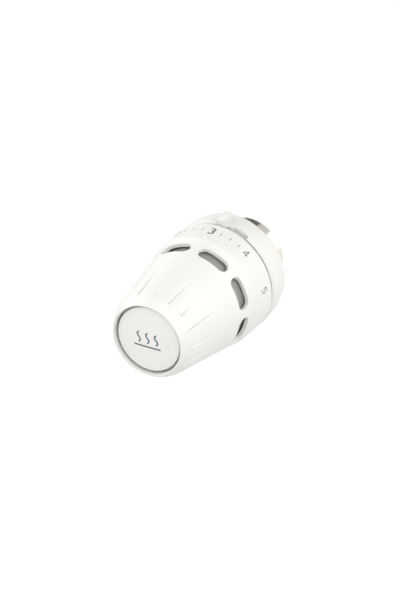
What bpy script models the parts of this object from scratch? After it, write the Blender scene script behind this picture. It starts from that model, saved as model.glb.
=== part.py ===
"""Thermostatic radiator valve head, as separate pieces, in metres with +Z up.

The head lies along Y: its front cap faces -Y and its union nut faces +Y, with the pointer on top.
The origin is on the axis, in the plane where the neck of the base presses on the valve.
Lengths below are millimetres. An outline is a list of (radius, y) points about the Y axis.
Angles run from +Z (0 degrees) towards +X (90 degrees).
"""

import math

import bmesh
import bpy
from mathutils import Matrix, Vector

MM = 0.001

# Driving dimensions
LIP_FRONT_Y = -79.8
NUT_END_Y = 8.5
SEAT_Y = 0.0

LIP_RADIUS = 16.8
CONE_FRONT_Y, CONE_FRONT_RADIUS = -71.4, 19.9
CONE_REAR_Y, CONE_REAR_RADIUS = -34.9, 25.4
BAND_RADIUS, BAND_REAR_Y = 26.1, -19.3
SHELL_WALL = 2.0

CAP_RADIUS = 15.1
CAP_RECESS_RADIUS = 15.9
CAP_FRONT_Y = -79.4

GROOVE_COUNT = 16
GROOVE_FRONT_Y = -74.6
GROOVE_SHORT_END_Y, GROOVE_LONG_END_Y = -65.9, -53.8
GROOVE_DEPTH, GROOVE_HALF_WIDTH = 0.6, 0.8

SLOT_COUNT = 8
SLOT_SPAN = 35.0
SLOT_FRONT_Y, SLOT_REAR_Y = -42.6, -36.6

COLLAR_FRONT_Y, COLLAR_REAR_Y = -18.6, -5.0
COLLAR_RADIUS, COLLAR_REAR_RADIUS = 26.1, 24.4
POINTER_WIDTH, POINTER_TOP_RADIUS = 3.2, 28.8
POINTER_FRONT_Y, POINTER_REAR_Y = -18.2, -9.7
WINDOW_START, WINDOW_STEP, WINDOW_END = 6.0, 13.4, 29.5
WINDOW_SHALLOW_Y, WINDOW_DEEP_Y, WINDOW_FLOOR_RADIUS = -16.7, -15.5, 25.3

NUT_RADIUS, NUT_BORE_RADIUS = 16.0, 14.2
NECK_RADIUS, NECK_BORE_RADIUS = 11.8, 8.5
THREAD_RADIUS = 18.0
PLATE_FRONT_Y, PLATE_REAR_Y = -16.5, -14.0

KEY_COUNT, KEY_WIDTH, KEY_INNER_RADIUS = 8, 2.2, 19.9
LUG_ANGLE, LUG_HALF_ANGLE = 180.0, 4.0
LOWEST_SETTING_TURN, HIGHEST_SETTING_TURN = 120.0, -80.0
LIMIT_CLEAR_ANGLE = 8.0
LIMIT_PIN_CIRCLE_RADIUS, LIMIT_PIN_RADIUS = 20.5, 0.9
LIMIT_HOLE_COUNT = 11

SEGMENTS_OUTER, SEGMENTS_INNER, SEGMENTS_SMALL, SEGMENTS_PIN = 48, 36, 20, 16
SHARP_ANGLE = math.radians(30)
MERGE_DISTANCE = 1e-7
CUT_RADIUS = 27.0

# Name: colour, roughness, metallic value
FINISHES = {
    "white_plastic": ((0.90, 0.90, 0.88), 0.32, 0.0),
    "cap_plastic": ((0.84, 0.84, 0.82), 0.35, 0.0),
    "light_grey_plastic": ((0.66, 0.66, 0.64), 0.45, 0.0),
    "grey_plastic": ((0.36, 0.36, 0.35), 0.50, 0.0),
    "nickel": ((0.78, 0.74, 0.68), 0.18, 1.0),
    "brass": ((0.78, 0.60, 0.32), 0.30, 1.0),
    "steel": ((0.62, 0.62, 0.62), 0.32, 1.0),
    "copper_alloy": ((0.72, 0.46, 0.30), 0.35, 1.0),
    "blue_plastic": ((0.10, 0.22, 0.50), 0.40, 0.0),
    "red_plastic": ((0.55, 0.08, 0.07), 0.40, 0.0),
}


def clear_scene():
    for thing in list(bpy.data.objects):
        bpy.data.objects.remove(thing, do_unlink=True)


def make_finish(name):
    colour, roughness, metallic = FINISHES[name]
    material = bpy.data.materials.new(name)
    material.use_nodes = True
    shader = material.node_tree.nodes["Principled BSDF"]
    shader.inputs["Base Color"].default_value = (*colour, 1.0)
    shader.inputs["Roughness"].default_value = roughness
    shader.inputs["Metallic"].default_value = metallic
    material.diffuse_color = (*colour, 1.0)
    return material


def around_axis(radius, y, angle):
    """The point in metres at this radius and angle about the Y axis."""
    turn = math.radians(angle)
    return Vector((radius * math.sin(turn), y, radius * math.cos(turn))) * MM


def add_object(name, mesh, finish, parent):
    piece = bpy.data.objects.new(name, mesh)
    bpy.context.scene.collection.objects.link(piece)
    piece.parent = parent
    if finish:
        mesh.materials.append(MATERIALS[finish])
    return piece


def finish_mesh(name, bm, finish, parent):
    bmesh.ops.recalc_face_normals(bm, faces=bm.faces)
    mesh = bpy.data.meshes.new(name)
    bm.to_mesh(mesh)
    bm.free()
    mesh.shade_smooth()
    mesh.set_sharp_from_angle(angle=SHARP_ANGLE)
    return add_object(name, mesh, finish, parent)


def spun(outline, segments):
    """A mesh turned about the Y axis. An outline that starts and ends at radius 0 is left open there."""
    bm = bmesh.new()
    verts = [bm.verts.new((radius * MM, y * MM, 0.0)) for radius, y in outline]
    pairs = list(zip(verts, verts[1:]))
    solid_core = outline[0][0] == 0.0 and outline[-1][0] == 0.0
    if not solid_core:
        pairs.append((verts[-1], verts[0]))
    edges = [bm.edges.new(pair) for pair in pairs]
    bmesh.ops.spin(
        bm,
        geom=verts + edges,
        cent=(0.0, 0.0, 0.0),
        axis=(0.0, 1.0, 0.0),
        angle=math.tau,
        steps=segments,
        use_merge=True,
    )
    bmesh.ops.remove_doubles(bm, verts=bm.verts, dist=MERGE_DISTANCE)
    return bm


def turned(name, outline, segments, finish, parent):
    return finish_mesh(name, spun(outline, segments), finish, parent)


def add_loft(bm, sections):
    """One closed body through sections that all have the same number of points, flat at both ends."""
    loops = [[bm.verts.new(point) for point in section] for section in sections]
    for first, second in zip(loops, loops[1:]):
        for i in range(len(first)):
            j = (i + 1) % len(first)
            bm.faces.new((first[i], first[j], second[j], second[i]))
    bm.faces.new(loops[0])
    bm.faces.new(loops[-1][::-1])


def arc_section(outline, angle):
    return [around_axis(radius, y, angle) for radius, y in outline]


def split_ring(name, inner, outer, front, rear, opening, middle, finish, parent):
    """A ring of rectangular section with a gap of `opening` degrees at the angle `middle`."""
    outline = [(inner, front), (outer, front), (outer, rear), (inner, rear)]
    start = middle + opening / 2
    sweep = 360.0 - opening
    steps = 30
    bm = bmesh.new()
    add_loft(bm, [arc_section(outline, start + sweep * i / steps) for i in range(steps + 1)])
    return finish_mesh(name, bm, finish, parent)


def radial_bar_section(y, inner, outer, width, angle):
    """A rectangle across the axis at y: `width` wide, from radius inner to outer, at this angle."""
    half = width / 2
    turn = Matrix.Rotation(math.radians(angle), 4, "Y")
    corners = [(-half, inner), (half, inner), (half, outer), (-half, outer)]
    return [turn @ (Vector((x, y, z)) * MM) for x, z in corners]


def boolean(piece, tool_name, bm, operation):
    """Joins a tool body to the piece, or cuts it away."""
    bmesh.ops.recalc_face_normals(bm, faces=bm.faces)
    mesh = bpy.data.meshes.new(tool_name)
    bm.to_mesh(mesh)
    bm.free()
    tool = add_object(tool_name, mesh, None, piece.parent)
    tool.hide_render = True
    tool.display_type = "WIRE"
    modifier = piece.modifiers.new(tool_name, "BOOLEAN")
    modifier.operation = operation
    modifier.solver = "EXACT"
    modifier.object = tool


def cone_radius(y):
    """Outer radius of the handle's cone."""
    share = (y - CONE_FRONT_Y) / (CONE_REAR_Y - CONE_FRONT_Y)
    return CONE_FRONT_RADIUS + share * (CONE_REAR_RADIUS - CONE_FRONT_RADIUS)


def groove_bodies():
    """Wedges that cut the finger grooves, deepest at the front and running out to the rear."""
    bm = bmesh.new()
    for i in range(GROOVE_COUNT):
        angle = 360.0 / GROOVE_COUNT * i
        end = GROOVE_LONG_END_Y if i % 2 else GROOVE_SHORT_END_Y
        sections = []
        for y, depth in ((GROOVE_FRONT_Y, GROOVE_DEPTH), (end, 0.0)):
            surface = cone_radius(y) - 0.05
            turn = Matrix.Rotation(math.radians(angle), 4, "Y")
            mouth = surface + 1.5
            corners = [(0.0, surface - depth), (GROOVE_HALF_WIDTH, mouth), (-GROOVE_HALF_WIDTH, mouth)]
            sections.append([turn @ (Vector((x, y, z)) * MM) for x, z in corners])
        add_loft(bm, sections)
    return bm


def slot_bodies():
    """Bars that cut the air slots: long round the handle, with round ends."""
    bm = bmesh.new()
    middle_y = (SLOT_FRONT_Y + SLOT_REAR_Y) / 2
    half_height = (SLOT_REAR_Y - SLOT_FRONT_Y) / 2
    end_angle = math.degrees(half_height / cone_radius(middle_y))
    half_span = SLOT_SPAN / 2
    run = half_span - end_angle
    offsets = [-run - end_angle * s for s in (0.98, 0.85, 0.5)] + [-run, -run / 3, run / 3, run]
    offsets += [run + end_angle * s for s in (0.5, 0.85, 0.98)]
    for i in range(SLOT_COUNT):
        centre = 360.0 / SLOT_COUNT * (i + 0.5)
        sections = []
        for offset in offsets:
            beyond = max(0.0, abs(offset) - run) / end_angle
            height = half_height * math.sqrt(1.0 - beyond**2)
            low, high = middle_y - height, middle_y + height
            inside = KEY_INNER_RADIUS + 1.1
            outline = [(inside, low), (CUT_RADIUS, low), (CUT_RADIUS, high), (inside, high)]
            sections.append(arc_section(outline, centre + offset))
        add_loft(bm, sections)
    return bm


def key_bodies():
    """Ribs inside the handle that drive the setting sleeve, and the stop lug behind one of them."""
    front, middle, rear, bite = -50.0, -35.0, -30.0, 1.0
    stations = [(front, cone_radius(front)), (middle, cone_radius(middle)), (rear, BAND_RADIUS)]
    bm = bmesh.new()
    for i in range(KEY_COUNT):
        angle = 360.0 / KEY_COUNT * i
        sections = [
            radial_bar_section(y, KEY_INNER_RADIUS, outer - bite, KEY_WIDTH, angle)
            for y, outer in stations
        ]
        add_loft(bm, sections)
    return bm


def lug_body():
    """The lug that meets the limit pins: a foot on the handle's wall and a finger that reaches back."""
    outline = [(19.6, -31.0), (25.0, -31.0), (25.0, -28.7), (21.4, -28.7), (21.4, -19.2), (19.6, -19.2)]
    bm = bmesh.new()
    steps = (-LUG_HALF_ANGLE, 0.0, LUG_HALF_ANGLE)
    add_loft(bm, [arc_section(outline, LUG_ANGLE + step) for step in steps])
    return bm


def make_grip_shell(parent):
    outer = [
        (CAP_RECESS_RADIUS, -78.3),
        (CAP_RECESS_RADIUS + 0.3, -79.4),
        (LIP_RADIUS, LIP_FRONT_Y),
        (17.4, -79.0),
        (18.2, -77.6),
        (19.2, -74.8),
        (CONE_FRONT_RADIUS, CONE_FRONT_Y),
        (CONE_REAR_RADIUS, CONE_REAR_Y),
        (25.95, -33.0),
        (BAND_RADIUS, -31.8),
        (BAND_RADIUS, BAND_REAR_Y - 0.3),
        (BAND_RADIUS - 0.3, BAND_REAR_Y),
    ]
    bore = BAND_RADIUS - SHELL_WALL
    inner = [
        (bore, BAND_REAR_Y),
        (bore, -22.4),
        (bore - 0.7, -22.7),
        (bore - 0.7, -23.6),
        (bore, -23.9),
        (bore, -31.5),
        (CONE_REAR_RADIUS - SHELL_WALL, CONE_REAR_Y),
        (CONE_FRONT_RADIUS - SHELL_WALL, CONE_FRONT_Y),
        (17.2, -74.0),
        (17.2, -74.8),
        (14.1, -74.8),
        (14.1, -76.2),
        (CAP_RECESS_RADIUS, -76.2),
    ]
    shell = turned("grip_shell", outer + inner, SEGMENTS_OUTER, "white_plastic", parent)
    boolean(shell, "key_tool", key_bodies(), "UNION")
    boolean(shell, "lug_tool", lug_body(), "UNION")
    boolean(shell, "groove_tool", groove_bodies(), "DIFFERENCE")
    boolean(shell, "slot_tool", slot_bodies(), "DIFFERENCE")


def make_end_cap(parent):
    rear_of_disc = -76.6
    outline = [
        (0.0, CAP_FRONT_Y),
        (6.0, CAP_FRONT_Y + 0.1),
        (11.0, CAP_FRONT_Y + 0.4),
        (14.4, CAP_FRONT_Y + 0.8),
        (CAP_RADIUS, CAP_FRONT_Y + 1.3),
        (CAP_RADIUS, rear_of_disc),
        (13.7, rear_of_disc),
        (13.7, -74.5),
        (14.6, -74.4),
        (13.7, -73.7),
        (12.7, -73.7),
        (12.7, -77.6),
        (0.0, -77.9),
    ]
    turned("end_cap", outline, SEGMENTS_INNER, "cap_plastic", parent)


def limit_angles():
    """Angles of the limit holes, from the highest setting's stop to the lowest setting's."""
    first = LUG_ANGLE + HIGHEST_SETTING_TURN - LIMIT_CLEAR_ANGLE
    last = LUG_ANGLE + LOWEST_SETTING_TURN + LIMIT_CLEAR_ANGLE
    step = (last - first) / (LIMIT_HOLE_COUNT - 1)
    return [first + step * i for i in range(LIMIT_HOLE_COUNT)]


def limit_hole_bodies(radius, front, rear):
    bm = bmesh.new()
    for angle in limit_angles():
        centre = around_axis(LIMIT_PIN_CIRCLE_RADIUS, 0.0, angle)
        sections = []
        for y in (front, rear):
            turns = [math.tau * i / 10 for i in range(10)]
            ring = [Vector((radius * math.cos(t), y, radius * math.sin(t))) * MM for t in turns]
            sections.append([centre + point for point in ring])
        add_loft(bm, sections)
    return bm


def window_body():
    """The stepped recess in the collar's front edge, beside the pointer."""
    bm = bmesh.new()
    spans = ((WINDOW_START, WINDOW_STEP, WINDOW_SHALLOW_Y), (WINDOW_STEP, WINDOW_END, WINDOW_DEEP_Y))
    front = COLLAR_FRONT_Y - 1.0
    sections = []
    for start, end, rear in spans:
        floor = WINDOW_FLOOR_RADIUS
        outline = [(floor, front), (CUT_RADIUS, front), (CUT_RADIUS, rear), (floor, rear)]
        shift = 0.3 if start == WINDOW_STEP else 0.0
        sections += [arc_section(outline, start + shift), arc_section(outline, (start + end) / 2)]
        sections.append(arc_section(outline, end))
    add_loft(bm, sections)
    return bm


def pointer_body():
    stations = [
        (POINTER_FRONT_Y, POINTER_TOP_RADIUS - 0.5),
        (POINTER_FRONT_Y + 0.6, POINTER_TOP_RADIUS),
        (POINTER_REAR_Y - 1.2, POINTER_TOP_RADIUS),
        (POINTER_REAR_Y, POINTER_TOP_RADIUS - 0.9),
    ]
    bm = bmesh.new()
    add_loft(bm, [radial_bar_section(y, 25.2, top, POINTER_WIDTH, 0.0) for y, top in stations])
    return bm


def make_base_collar():
    outline = [
        (25.4, COLLAR_FRONT_Y),
        (COLLAR_RADIUS, -16.9),
        (COLLAR_RADIUS, -14.6),
        (25.7, -11.0),
        (25.2, -8.0),
        (COLLAR_REAR_RADIUS, -5.7),
        (COLLAR_REAR_RADIUS - 0.7, COLLAR_REAR_Y),
        (16.8, COLLAR_REAR_Y),
        (16.8, COLLAR_REAR_Y - 1.6),
        (22.9, COLLAR_REAR_Y - 1.6),
        (24.0, -8.0),
        (24.6, -11.5),
        (24.6, COLLAR_FRONT_Y),
    ]
    collar = turned("base_collar", outline, SEGMENTS_OUTER, "white_plastic", None)
    boolean(collar, "pointer_tool", pointer_body(), "UNION")
    boolean(collar, "window_tool", window_body(), "DIFFERENCE")
    boolean(collar, "collar_hole_tool", limit_hole_bodies(2.15, -8.5, -4.0), "DIFFERENCE")


def make_base_body():
    groove_front, groove_rear = -25.5, -23.9
    outline = [
        (4.6, -18.8),
        (6.6, -18.8),
        (6.6, PLATE_FRONT_Y),
        (THREAD_RADIUS, PLATE_FRONT_Y),
        (THREAD_RADIUS, -28.5),
        (THREAD_RADIUS + 1.2, -28.5),
        (THREAD_RADIUS + 1.2, PLATE_FRONT_Y),
        (21.8, PLATE_FRONT_Y),
        (21.8, -27.0),
        (22.8, -27.0),
        (22.8, groove_front),
        (22.3, groove_front),
        (22.3, groove_rear),
        (22.8, groove_rear),
        (22.8, -18.2),
        (24.2, -18.2),
        (24.2, PLATE_REAR_Y),
        (NECK_RADIUS, PLATE_REAR_Y),
        (NECK_RADIUS, -3.3),
        (NECK_RADIUS - 0.9, -3.3),
        (NECK_RADIUS - 0.9, -1.7),
        (NECK_RADIUS, -1.7),
        (NECK_RADIUS, SEAT_Y),
        (NECK_BORE_RADIUS, SEAT_Y),
        (NECK_BORE_RADIUS, PLATE_REAR_Y),
        (4.6, PLATE_REAR_Y),
    ]
    body = turned("base_body", outline, SEGMENTS_INNER, "light_grey_plastic", None)
    boolean(body, "base_hole_tool", limit_hole_bodies(1.25, -17.5, -13.0), "DIFFERENCE")


def make_base_rings():
    split_ring("handle_clip_ring", 22.6, 23.7, -25.2, -24.2, 20.0, 180.0, "steel", None)
    split_ring("nut_snap_ring", NECK_RADIUS - 0.6, 13.4, -3.0, -2.0, 24.0, 180.0, "steel", None)
    bush = [(3.3, -19.9), (5.4, -19.9), (5.4, -19.1), (4.3, -19.1), (4.3, -14.6), (3.3, -14.6)]
    turned("pin_guide_bush", bush, SEGMENTS_SMALL, "brass", None)


def make_union_nut(parent):
    outline = [
        (12.2, -8.5),
        (15.6, -8.5),
        (NUT_RADIUS, -8.1),
        (NUT_RADIUS, NUT_END_Y - 0.5),
        (NUT_RADIUS - 0.5, NUT_END_Y),
        (NUT_BORE_RADIUS + 0.7, NUT_END_Y),
        (NUT_BORE_RADIUS, NUT_END_Y - 0.7),
        (NUT_BORE_RADIUS, -3.6),
        (12.2, -3.6),
    ]
    turned("union_nut", outline, SEGMENTS_OUTER, "nickel", parent)


def make_setting_sleeve(parent):
    front, rear, clearance = -49.0, -33.6, 0.8
    outline = [
        (cone_radius(front) - SHELL_WALL - clearance, front),
        (cone_radius(CONE_REAR_Y) - SHELL_WALL - clearance, CONE_REAR_Y),
        (cone_radius(CONE_REAR_Y) - SHELL_WALL - clearance, rear),
        (17.6, rear),
        (17.6, -20.0),
        (14.6, -20.0),
        (14.6, -42.9),
        (18.0, -42.9),
        (18.0, -46.7),
        (18.5, -46.7),
        (18.5, -48.1),
        (18.0, -48.1),
        (18.0, front),
    ]
    sleeve = turned("setting_sleeve", outline, SEGMENTS_INNER, "grey_plastic", parent)
    keyways = bmesh.new()
    for i in range(KEY_COUNT):
        angle = 360.0 / KEY_COUNT * i
        ends = (front - 1.0, rear + 1.0)
        add_loft(keyways, [radial_bar_section(y, 19.2, 23.5, KEY_WIDTH + 0.9, angle) for y in ends])
    boolean(sleeve, "keyway_tool", keyways, "DIFFERENCE")


def make_capsule(parent):
    capsule = [
        (0.0, -71.5),
        (12.5, -71.5),
        (15.2, -70.5),
        (16.4, -68.0),
        (16.4, -46.6),
        (17.6, -46.6),
        (17.6, -43.2),
        (15.6, -43.2),
        (15.6, -67.6),
        (14.6, -69.8),
        (12.2, -70.7),
        (0.0, -70.7),
    ]
    turned("sensor_capsule", capsule, SEGMENTS_INNER, "copper_alloy", parent)
    plate = [(4.6, -45.6), (15.2, -45.6), (15.2, -43.5), (4.6, -43.5)]
    turned("capsule_base", plate, SEGMENTS_SMALL, "brass", parent)
    stub = [(0.0, -73.6), (0.7, -73.6), (1.3, -73.0), (1.3, -72.3), (2.2, -71.8), (0.0, -71.8)]
    turned("capsule_fill_stub", stub, SEGMENTS_PIN, "copper_alloy", parent)
    split_ring("capsule_clip_ring", 16.9, 18.2, -47.8, -47.0, 30.0, 180.0, "steel", parent)


def make_bellows(parent):
    """A corrugated tube of thin metal, open at both ends."""
    crest, root, wall, folds = 11.5, 8.8, 0.5, 7
    front, rear = -61.5, -45.9
    count = 2 * folds + 1
    pitch = (rear - front) / (count - 1)
    ridge = [(crest if i % 2 else root, front + pitch * i) for i in range(count)]
    inner = [(radius - wall, y) for radius, y in reversed(ridge)]
    turned("bellows", ridge + inner, SEGMENTS_SMALL, "brass", parent)


def make_spring(name, coil_radius, wire_radius, front, rear, turns, parent):
    """A compression spring whose end turns lie nearly against each other."""
    per_turn = 12
    low, high = front + wire_radius, rear - wire_radius
    dead = wire_radius * 2.3
    live = (high - low - 2 * dead) / (turns - 2)
    curve = bpy.data.curves.new(name, "CURVE")
    curve.dimensions = "3D"
    curve.bevel_depth = wire_radius * MM
    curve.bevel_resolution = 1
    curve.use_fill_caps = True
    spline = curve.splines.new("POLY")
    spline.points.add(turns * per_turn)
    for i, point in enumerate(spline.points):
        turn = i / per_turn
        dead_turns = min(turn, 1.0) + max(turn - turns + 1.0, 0.0)
        live_turns = min(max(turn - 1.0, 0.0), turns - 2.0)
        place = around_axis(coil_radius, low + dead * dead_turns + live * live_turns, 360.0 * turn)
        point.co = (*place, 1.0)
    add_object(name, curve, "steel", parent)


def make_push_rod_group(parent):
    cup = [(0.0, -63.2), (8.6, -63.2), (9.4, -62.6), (9.4, -61.8), (0.0, -61.8)]
    turned("bellows_cup", cup, SEGMENTS_SMALL, "brass", parent)
    rod = [
        (0.0, -61.5),
        (2.2, -61.5),
        (2.2, -38.7),
        (3.4, -38.7),
        (3.4, -37.8),
        (2.2, -37.8),
        (2.2, -31.0),
        (0.0, -31.0),
    ]
    turned("push_rod", rod, SEGMENTS_PIN, "steel", parent)
    washer = [(2.5, -37.5), (6.9, -37.5), (6.9, -36.3), (2.5, -36.3)]
    turned("thrust_washer", washer, SEGMENTS_SMALL, "steel", parent)


def make_pressure_pin_group(parent):
    cup = [
        (0.0, -25.5),
        (7.6, -25.5),
        (8.4, -26.3),
        (8.4, -39.6),
        (7.2, -39.6),
        (7.2, -38.7),
        (7.8, -38.7),
        (7.8, -37.5),
        (7.2, -37.5),
        (7.2, -26.6),
        (0.0, -26.6),
    ]
    turned("overtravel_cup", cup, SEGMENTS_SMALL, "light_grey_plastic", parent)
    split_ring("cup_clip_ring", 6.0, 7.5, -38.4, -37.8, 40.0, 180.0, "steel", parent)
    pin = [(0.0, -25.2), (4.0, -25.2), (4.0, -24.6), (3.0, -24.6), (3.0, -13.6), (2.4, -13.0), (0.0, -13.0)]
    turned("pressure_pin", pin, SEGMENTS_SMALL, "steel", parent)


def make_limit_pin(name, angle, finish):
    """A push-in pin with a small head, turned about its own line and then put on the circle of holes."""
    outline = [
        (0.0, -21.0),
        (LIMIT_PIN_RADIUS, -21.0),
        (LIMIT_PIN_RADIUS, -7.4),
        (1.8, -7.4),
        (1.8, -4.9),
        (1.5, -4.6),
        (0.0, -4.6),
    ]
    pin = turned(name, outline, SEGMENTS_PIN, finish, None)
    pin.location = around_axis(LIMIT_PIN_CIRCLE_RADIUS, 0.0, angle)


def make_axis(name, parent):
    """An empty on the Y axis, which is the joint axis of what it carries."""
    empty = bpy.data.objects.new(name, None)
    bpy.context.scene.collection.objects.link(empty)
    empty.parent = parent
    return empty


clear_scene()
MATERIALS = {name: make_finish(name) for name in FINISHES}

handle_axis = make_axis("handle_axis", None)
sleeve_axis = make_axis("sleeve_axis", handle_axis)
rod_axis = make_axis("rod_axis", sleeve_axis)
pin_axis = make_axis("pin_axis", rod_axis)
nut_axis = make_axis("nut_axis", None)

make_base_collar()
make_base_body()
make_base_rings()
make_grip_shell(handle_axis)
make_end_cap(handle_axis)
make_setting_sleeve(sleeve_axis)
make_capsule(sleeve_axis)
make_bellows(sleeve_axis)
make_spring("return_spring", 6.4, 0.45, -61.4, -46.0, 6, sleeve_axis)
make_push_rod_group(rod_axis)
make_spring("overtravel_spring", 5.4, 0.55, -36.0, -26.9, 5, rod_axis)
make_pressure_pin_group(pin_axis)
make_union_nut(nut_axis)
make_limit_pin("limit_pin_high", limit_angles()[0], "red_plastic")
make_limit_pin("limit_pin_low", limit_angles()[-1], "blue_plastic")
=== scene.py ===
"""Looks of a thermostatic radiator valve head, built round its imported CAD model.

Lengths are millimetres until net_mesh() turns them into metres. The floor and the camera are set in metres.
The head lies along Y with its cap towards -Y. Angles are degrees about the Y axis, from +Z (the pointer)
towards +X. An outline is a list of (radius, y) points.
"""

import math

import bmesh
import bpy
import numpy as np
from mathutils import Matrix, Vector


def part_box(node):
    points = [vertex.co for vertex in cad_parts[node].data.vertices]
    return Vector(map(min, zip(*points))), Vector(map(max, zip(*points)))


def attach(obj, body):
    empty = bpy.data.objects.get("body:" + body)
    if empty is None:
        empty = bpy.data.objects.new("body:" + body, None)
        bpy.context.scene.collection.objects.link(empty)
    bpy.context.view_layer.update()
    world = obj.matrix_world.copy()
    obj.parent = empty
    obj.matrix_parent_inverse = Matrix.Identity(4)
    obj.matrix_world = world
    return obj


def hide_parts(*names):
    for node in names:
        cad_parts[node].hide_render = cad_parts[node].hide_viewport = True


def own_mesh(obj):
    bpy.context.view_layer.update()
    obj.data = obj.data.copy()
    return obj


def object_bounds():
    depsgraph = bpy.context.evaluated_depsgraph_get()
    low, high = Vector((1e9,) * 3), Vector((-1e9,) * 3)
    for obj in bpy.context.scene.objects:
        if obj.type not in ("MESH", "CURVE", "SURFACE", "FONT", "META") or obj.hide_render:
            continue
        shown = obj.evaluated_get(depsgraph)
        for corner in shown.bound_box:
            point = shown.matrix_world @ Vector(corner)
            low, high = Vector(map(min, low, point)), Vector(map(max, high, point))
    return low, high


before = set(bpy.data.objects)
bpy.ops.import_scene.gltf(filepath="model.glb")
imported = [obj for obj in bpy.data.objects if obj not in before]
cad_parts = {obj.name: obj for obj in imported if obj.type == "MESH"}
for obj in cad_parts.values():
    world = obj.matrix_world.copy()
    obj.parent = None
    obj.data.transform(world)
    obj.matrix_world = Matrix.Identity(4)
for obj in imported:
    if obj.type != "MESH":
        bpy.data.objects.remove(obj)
cad_low, cad_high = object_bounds()

MM = 0.001
SHARP_ANGLE = 35.0


def node_box(node):
    """The CAD node's lowest and highest corners in millimetres."""
    low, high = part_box(node)
    return low / MM, high / MM


handle_low, handle_high = node_box("grip_shell")
cap_low, cap_high = node_box("end_cap")
collar_low, collar_high = node_box("base_collar")
nut_low, nut_high = node_box("union_nut")
sleeve_low, sleeve_high = node_box("setting_sleeve")
base_low, base_high = node_box("base_body")

TURN_STEPS = 192

# Handle: the lip round the cap, the long cone and the level band in front of the collar
LIP_FRONT = handle_low.y
BAND_REAR = handle_high.y
BAND_RADIUS = handle_high.x
WALL = 2.0
BORE = BAND_RADIUS - WALL
CONE_REAR = BAND_REAR - 15.6
CONE_REAR_RADIUS = BAND_RADIUS - 0.7
CONE_SLOPE = math.radians(8.57)
BAND_FRONT = BAND_REAR - 12.6
RECESS_RADIUS, NOSE_RADIUS = 15.9, 16.4
NOSE_ROUND, CHEEK_ROUND, CHEEK_ANGLE = 0.45, 14.6, math.radians(38)
FLANGE_FRONT, FLANGE_REAR, FLANGE_BORE = LIP_FRONT + 4.3, LIP_FRONT + 5.0, 14.1

# Finger grooves, short and long in turn
GROOVES = 16
GROOVE_FRONT = LIP_FRONT + 5.2
GROOVE_SHORT, GROOVE_LONG = 8.7, 20.8
GROOVE_DEPTH, GROOVE_HALF_WIDTH = 0.8, 0.85

# Air slots: one in each sector of the handle, in the middle of a patch of its skin
SECTORS, SECTOR_STEPS = 8, 48
SECTOR = 360.0 / SECTORS
SLOT_MIDDLE, SLOT_HALF_HEIGHT, SLOT_HALF_SPAN = BAND_REAR - 20.3, 3.0, 17.5
SLOT_EDGE = 0.4
PATCH_FRONT, PATCH_REAR, PATCH_STEPS = SLOT_MIDDLE - 4.9, SLOT_MIDDLE + 4.2, 20

# Printing
SCALE_Y = BAND_REAR - 5.5
NUMBER_STEP = 40.0
INK_THICKNESS = 0.03

CAP_DOME, CAP_EDGE = 1.15, 0.7

# Collar, with the pointer and the stepped window beside it
COLLAR_FRONT, COLLAR_REAR = collar_low.y, collar_high.y
COLLAR_RADIUS, COLLAR_BORE = collar_high.x, 24.6
COLLAR_LIP, COLLAR_BEVEL, COLLAR_BEVEL_DEPTH = COLLAR_FRONT + 0.9, 1.0, 0.7
POINTER_TOP = collar_high.z
POINTER_WIDTH, POINTER_FRONT, POINTER_REAR = 3.2, COLLAR_FRONT + 0.4, COLLAR_FRONT + 8.9
WINDOW_START, WINDOW_STEP, WINDOW_END = 6.0, 13.4, 29.5
WINDOW_SHALLOW, WINDOW_DEEP, WINDOW_FLOOR = COLLAR_FRONT + 1.9, COLLAR_FRONT + 3.1, COLLAR_RADIUS - 1.2

# Base: the plate across it and the neck that presses on the valve
SEAT = base_high.y
PLATE_FRONT, PLATE_REAR = SEAT - 16.5, SEAT - 14.0
NECK_BORE, NECK_RADIUS = 8.5, 11.8

# Limit pins: the holes' circle, and the angles of the first and the last
LIMIT_HOLE_CIRCLE, LIMIT_HOLE_COUNT, LIMIT_HOLE_SPAN = 20.5, 11, (92.0, 308.0)

# Union nut
THREAD_PITCH, THREAD_DEPTH, THREAD_BORE = 1.5, 0.8, 14.2

# World light: the brightness that the ramps' white stands for
STUDIO_LEVEL = 3.3


# ---------------------------------------------------------------- geometry helpers

def at(radius, y, angle):
    """The point at a radius and an angle about the axis."""
    turn = math.radians(angle)
    return (radius * math.sin(turn), y, radius * math.cos(turn))


class Net:
    """The points and faces of one piece, in millimetres."""

    def __init__(self):
        self.points = []
        self.faces = []

    def row(self, points):
        start = len(self.points)
        self.points.extend(points)
        return list(range(start, len(self.points)))

    def rings(self, outline, angles):
        """One row for each point of the outline."""
        return [self.row([at(radius, y, a) for a in angles]) for radius, y in outline]

    def bridge(self, first, second):
        count = len(first)
        for i in range(count):
            j = (i + 1) % count
            self.faces.append((first[i], first[j], second[j], second[i]))

    def skin(self, rows, closed=False):
        """Joins each row to the next, and the last to the first where the skin is closed."""
        for first, second in zip(rows, rows[1:] + rows[:1] if closed else rows[1:]):
            self.bridge(first, second)

    def fan(self, ring, centre):
        tip = self.row([centre])[0]
        for i in range(len(ring)):
            self.faces.append((ring[i], ring[(i + 1) % len(ring)], tip))


def net_mesh(name, net):
    """A mesh in metres with its faces turned outwards."""
    mesh = bpy.data.meshes.new(name)
    mesh.from_pydata([Vector(p) * MM for p in net.points], [], net.faces)
    bm = bmesh.new()
    bm.from_mesh(mesh)
    bmesh.ops.recalc_face_normals(bm, faces=bm.faces)
    bm.to_mesh(mesh)
    bm.free()
    return mesh


def shade(mesh, sharp=SHARP_ANGLE):
    """Smooth shading, with the edges that turn by more than the sharp angle left crisp."""
    mesh.shade_smooth()
    mesh.set_sharp_from_angle(angle=math.radians(sharp))


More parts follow.
